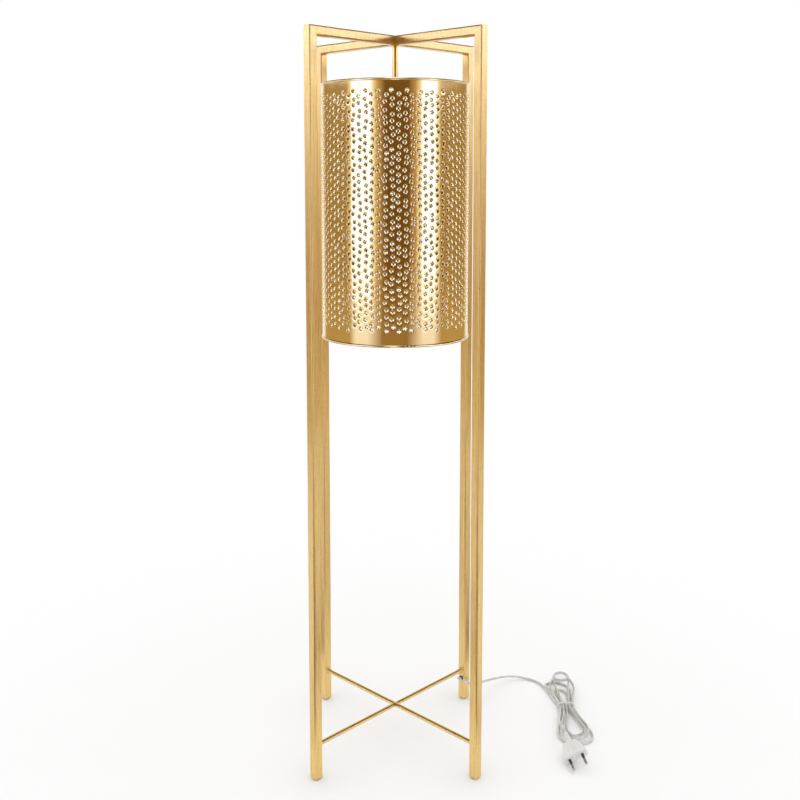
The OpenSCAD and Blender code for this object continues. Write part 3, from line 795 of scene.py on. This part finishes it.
# What it sees just above, then higher, then high up, and at the very top, the same way
ABOVE = [
    (-150, BACKDROP), (-112, OVER_SIDE), (-78, OVER_SIDE), (-69, STRIP), (-38, STRIP),
    (-34, WARM_BRIGHT), (-26, WARM_HALF), (-15, LOW_FRONT), (20, LOW_FRONT), (31, WARM_HALF),
    (38, WARM_BRIGHT), (42, STRIP), (65, STRIP), (76, OVER_SIDE), (112, OVER_SIDE), (150, BACKDROP),
]
TALL = [
    (-165, BACKDROP), (-150, CEILING), (-72, CEILING), (-67, STRIP), (-38, STRIP), (-32, CEILING),
    (32, CEILING), (38, STRIP), (67, STRIP), (72, CEILING), (150, CEILING), (165, BACKDROP),
]
HIGH = [
    (-165, BACKDROP), (-150, CEILING), (-24, CEILING), (-17, OVER_FRONT),
    (17, OVER_FRONT), (24, CEILING), (150, CEILING), (165, BACKDROP),
]
TOP = [(-180, BACKDROP), (180, BACKDROP)]
# The heights, as the sine of the angle, over which each takes over from the one below
LAYERS = [
    (-0.16, -0.08, ROOM),
    (0.08, 0.14, ABOVE),
    (0.18, 0.26, TALL),
    (0.50, 0.56, HIGH),
    (0.91, 0.96, TOP),
]
# Colours of a ramp end at 1, so they are levels over this one
BRIGHTEST = 5.0
# The soft light that falls on plain surfaces, from level to overhead
LEVEL_LIGHT, TOP_LIGHT = 0.62, 1.25


def level_colour(levels):
    return rgb(*[level / BRIGHTEST for level in levels])


def make_world():
    world = bpy.data.worlds.new("studio")
    world.use_nodes = True
    bpy.context.scene.world = world
    n = Nodes(world.node_tree)
    way = n.add("ShaderNodeSeparateXYZ", {0: n.add("ShaderNodeTexCoord").outputs["Generated"]})
    x, y, z = way.outputs
    round_turn = n.maths("ARCTAN2", x, n.maths("MULTIPLY", y, -1.0))
    share = n.maths("ADD", n.maths("DIVIDE", round_turn, 2 * math.pi), 0.5)

    def ramp(stops):
        """A colour for each direction round the lamp."""
        node = n.add("ShaderNodeValToRGB", {0: share})
        marks = node.color_ramp.elements
        while len(marks) < len(stops):
            marks.new(0.5)
        for mark, (angle, levels) in zip(marks, stops):
            mark.position = angle / 360 + 0.5
            mark.color = level_colour(levels)
        return node.outputs[0]

    def rise(low, high):
        """0 below one height and 1 above another, with a smooth passage."""
        return n.span(z, low, high, interpolation_type="SMOOTHSTEP")

    reflected = ramp(LOW)
    for low, high, stops in LAYERS:
        reflected = n.blend(rise(low, high), reflected, ramp(stops))
    soft = n.blend(rise(0.0, 1.0), level_colour([LEVEL_LIGHT] * 3), level_colour([TOP_LIGHT] * 3))
    rays = n.add("ShaderNodeLightPath").outputs
    studio = n.tree.nodes["Background"]
    n.put(studio.inputs["Color"], n.blend(rays["Is Glossy Ray"], soft, reflected))
    n.put(studio.inputs["Strength"], BRIGHTEST)

    white = n.add("ShaderNodeBackground", {"Color": rgb(*BACKDROP)})
    seen = n.maths("MAXIMUM", rays["Is Camera Ray"], rays["Is Transmission Ray"])
    choice = n.add("ShaderNodeMixShader", {0: seen, 1: studio.outputs[0], 2: white.outputs[0]})
    n.put(n.tree.nodes["World Output"].inputs["Surface"], choice.outputs[0])
    world.cycles.sampling_method = "NONE"


def sheet(name, points, faces, material):
    """A thin sheet of the studio, from points in metres."""
    mesh = bpy.data.meshes.new(name)
    mesh.from_pydata(points, [], faces)
    mesh.materials.append(material)
    piece = bpy.data.objects.new(name, mesh)
    bpy.context.scene.collection.objects.link(piece)
    return piece


FLOOR_REACH = 1.8
FLOOR_COLOUR = rgb(0.95, 0.95, 0.95)
# Distances from the lamp between which the floor passes into the white backdrop
FLOOR_FADE = (0.55, 1.5)


def make_floor():
    n = Material("floor")
    n.finish(Base_Color=FLOOR_COLOUR, Roughness=0.9, Specular_IOR_Level=0.0)
    white = n.add("ShaderNodeEmission", {"Color": rgb(*BACKDROP)})
    rays = n.add("ShaderNodeLightPath").outputs
    seen = n.maths("MAXIMUM", rays["Is Camera Ray"], rays["Is Glossy Ray"])
    amount = n.maths("MULTIPLY", n.fade(*FLOOR_FADE), seen)
    paper = n.mix(amount, n.shader.outputs[0], white.outputs[0])
    r = FLOOR_REACH
    corners = [(-r, -r, 0), (r, -r, 0), (r, r, 0), (-r, r, 0)]
    floor = sheet("floor", corners, [(0, 1, 2, 3)], paper)


# Dark flags low round the lamp, seen only in its polish: reach, and degrees to each side
FLAG_REACH = (0.28, 1.7)
FLAG_FADE = (0.9, 1.6)
FLAG_TURNS = {"flag_front": (9, 66), "flag_back": (106, 150)}
FLAG_STEPS = 12
FLAG_HEIGHT = 0.004
FLAG_TONE = (0.20, 0.11, 0.03)


def make_flags():
    n = Material("flag")
    dark = n.add("ShaderNodeEmission", {"Color": rgb(*FLAG_TONE)})
    clear = n.add("ShaderNodeBsdfTransparent")
    cloth = n.mix(n.fade(*FLAG_FADE), dark.outputs[0], clear.outputs[0])
    faces = [(i, i + 1, i + 1 + FLAG_STEPS, i + FLAG_STEPS) for i in range(FLAG_STEPS - 1)]
    for name, ends in FLAG_TURNS.items():
        turns = [math.radians(a) for a in np.linspace(*ends, FLAG_STEPS)]
        for side in (-1, 1):
            points = [
                (r * side * math.sin(a), -r * math.cos(a), FLAG_HEIGHT)
                for r in FLAG_REACH
                for a in turns
            ]
            flag = sheet(name, points, faces, cloth)
            flag.visible_camera = False
            flag.visible_diffuse = False
            flag.visible_transmission = False
            flag.visible_shadow = False


def main():
    make_camera()
    lead, route = make_lead()
    tie = make_tie()
    grip = make_grip()
    shade = make_shade()
    dress([lead, tie, grip, shade])
    for name in FRONT_LEGS:
        frame["nodes"][name].visible_glossy = False
    make_world()
    make_floor()
    make_flags()
    bpy.context.scene.view_settings.view_transform = "Standard"


main()
